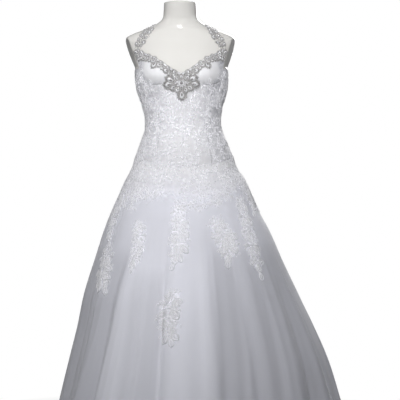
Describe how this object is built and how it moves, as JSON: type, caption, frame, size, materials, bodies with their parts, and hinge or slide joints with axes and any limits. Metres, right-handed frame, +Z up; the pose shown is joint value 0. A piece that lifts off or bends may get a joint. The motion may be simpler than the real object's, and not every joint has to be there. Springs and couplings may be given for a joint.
{
  "type": "wedding dress on a limbless dress form",
  "caption": "Floor-length white gown with sweetheart neckline, beaded straps and a full overlaid skirt, standing on a limbless dress form with a round base.",
  "frame": {"origin": "centre of the underside of the form's round base, on the floor", "axes": "+Z up along the form's pole, -Y the way the dress's front faces, +X to the right of a viewer who faces the front"},
  "size_m": [1.0061, 1.0095, 1.475],
  "materials": {
    "satin": "white bridal satin with a soft sheen",
    "tulle": "fine white tulle, slightly see-through",
    "lace": "white corded lace with small sequins",
    "beading": "silver beads and clear stones on a net",
    "form": "smooth ivory-white gloss",
    "stand": "brushed steel"
  },
  "bodies": {
    "root": {"back_placket": "satin", "bodice_back_left": "satin", "bodice_back_right": "satin", "bodice_centre_front": "satin", "bodice_side_back_left": "satin", "bodice_side_back_right": "satin", "bodice_side_front_left": "satin", "bodice_side_front_right": "satin", "bodice_side_left": "satin", "bodice_side_right": "satin", "cup_left": "satin", "cup_right": "satin", "form_base": "stand", "form_body": "form", "form_collar": "stand", "form_flange": "stand", "form_pole": "stand", "neckline_motif": "beading", "neckline_trim_left": "beading", "neckline_trim_right": "beading", "overlay_back_left": "tulle", "overlay_back_right": "tulle", "overlay_front": "tulle", "overlay_side_left": "tulle", "overlay_side_right": "tulle", "skirt_back_left": "satin", "skirt_back_right": "satin", "skirt_centre_front": "satin", "skirt_front_left": "satin", "skirt_front_right": "satin", "skirt_side_back_left": "satin", "skirt_side_back_right": "satin", "skirt_side_left": "satin", "skirt_side_right": "satin", "sprig_back_centre": "lace", "sprig_back_left": "lace", "sprig_back_left_hip": "lace", "sprig_back_right": "lace", "sprig_back_right_hip": "lace", "sprig_centre": "lace", "sprig_centre_low": "lace", "sprig_left_front": "lace", "sprig_left_hip": "lace", "sprig_left_low": "lace", "sprig_right_front": "lace", "sprig_right_hip": "lace", "sprig_right_side": "lace", "strap_back_left": "beading", "strap_back_right": "beading", "strap_front_left": "beading", "strap_front_right": "beading"}
  },
  "joints": []
}
